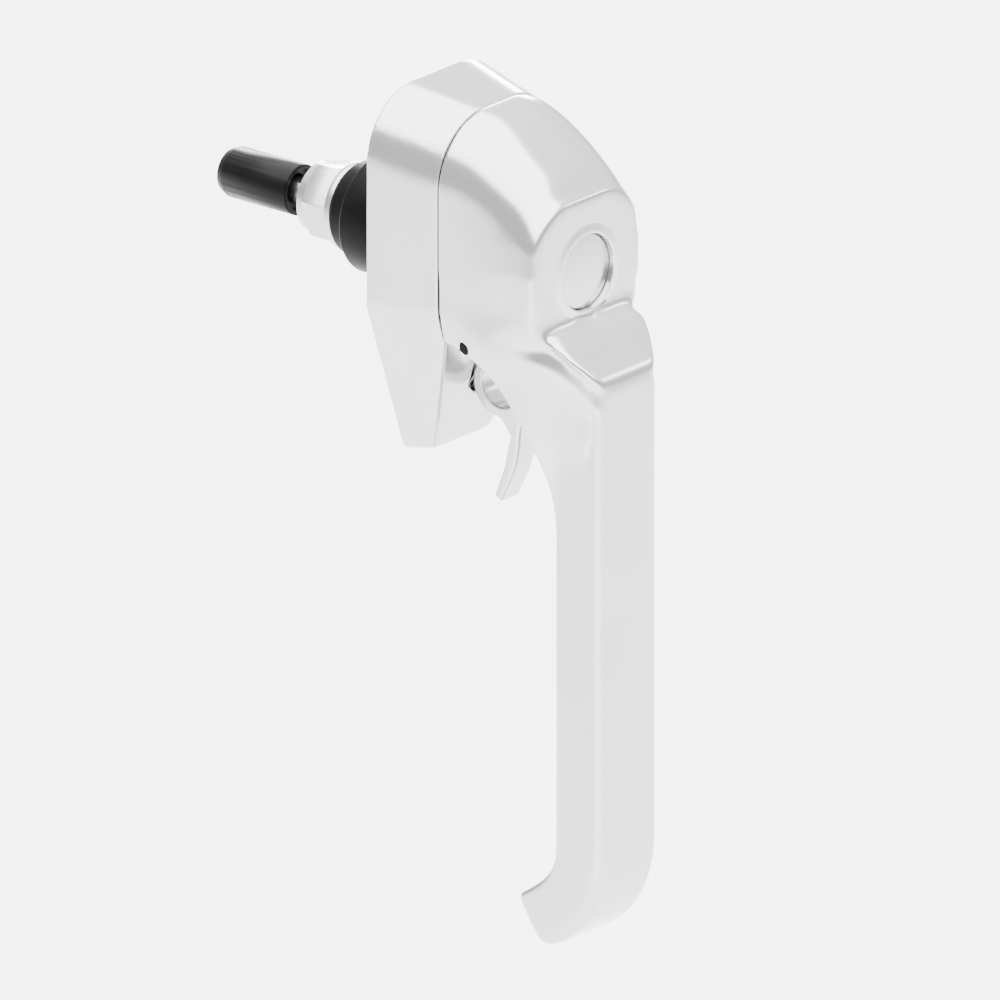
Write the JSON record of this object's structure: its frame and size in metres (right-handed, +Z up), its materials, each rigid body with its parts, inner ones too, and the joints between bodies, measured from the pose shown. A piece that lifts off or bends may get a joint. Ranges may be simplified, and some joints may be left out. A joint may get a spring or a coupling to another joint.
{
  "type": "l-handle latch",
  "caption": "L-handle cabinet latch: a chromed lever grip on a drafted housing, a squeeze trigger with a padlock eye, and a threaded spindle through the panel.",
  "frame": {"origin": "where the turning axis meets the panel face the housing sits on", "axes": "+Y into the panel along the spindle, -Y towards the user, +Z up, away from the grip, +X to the user's right"},
  "size_m": [0.05, 0.1212, 0.2033],
  "materials": {
    "housing": "satin",
    "panel_bushing": "matte",
    "hub_bearing": "sintered, oiled",
    "seal_ring": "matte",
    "handle": "satin",
    "blank_plug": "satin",
    "plug_seal": "matte",
    "spindle": "zinc plated",
    "handle_screw": "black oxide",
    "stop_pin": "ground",
    "trigger_pin": "ground",
    "flat_washer": "zinc plated",
    "lock_nut": "zinc plated",
    "nylon_insert": "natural",
    "end_cap": "soft vinyl",
    "trigger": "satin",
    "trigger_spring": "spring wire"
  },
  "bodies": {
    "housing": {"housing": "housing", "hub_bearing": "hub_bearing", "panel_bushing": "panel_bushing", "seal_ring": "seal_ring"},
    "handle": {"handle": "handle", "blank_plug": "blank_plug", "plug_seal": "plug_seal", "spindle": "spindle", "handle_screw": "handle_screw", "stop_pin": "stop_pin", "trigger_pin": "trigger_pin", "flat_washer": "flat_washer", "lock_nut": "lock_nut", "nylon_insert": "nylon_insert", "end_cap": "end_cap"},
    "trigger": {"trigger": "trigger", "trigger_spring": "trigger_spring"}
  },
  "joints": [
    {"name": "handle_turn", "type": "hinge", "parent": "housing", "child": "handle", "pos_m": [0, 0, 0], "axis": [0, -1, 0], "range_deg": [0, 90]},
    {"name": "trigger_squeeze", "type": "hinge", "parent": "handle", "child": "trigger", "pos_m": [0, -0.0255, -0.0181], "axis": [-1, 0, 0], "range_deg": [0, 22], "stiffness_Nm_per_rad": 0.3, "springref_deg": -14.32}
  ]
}
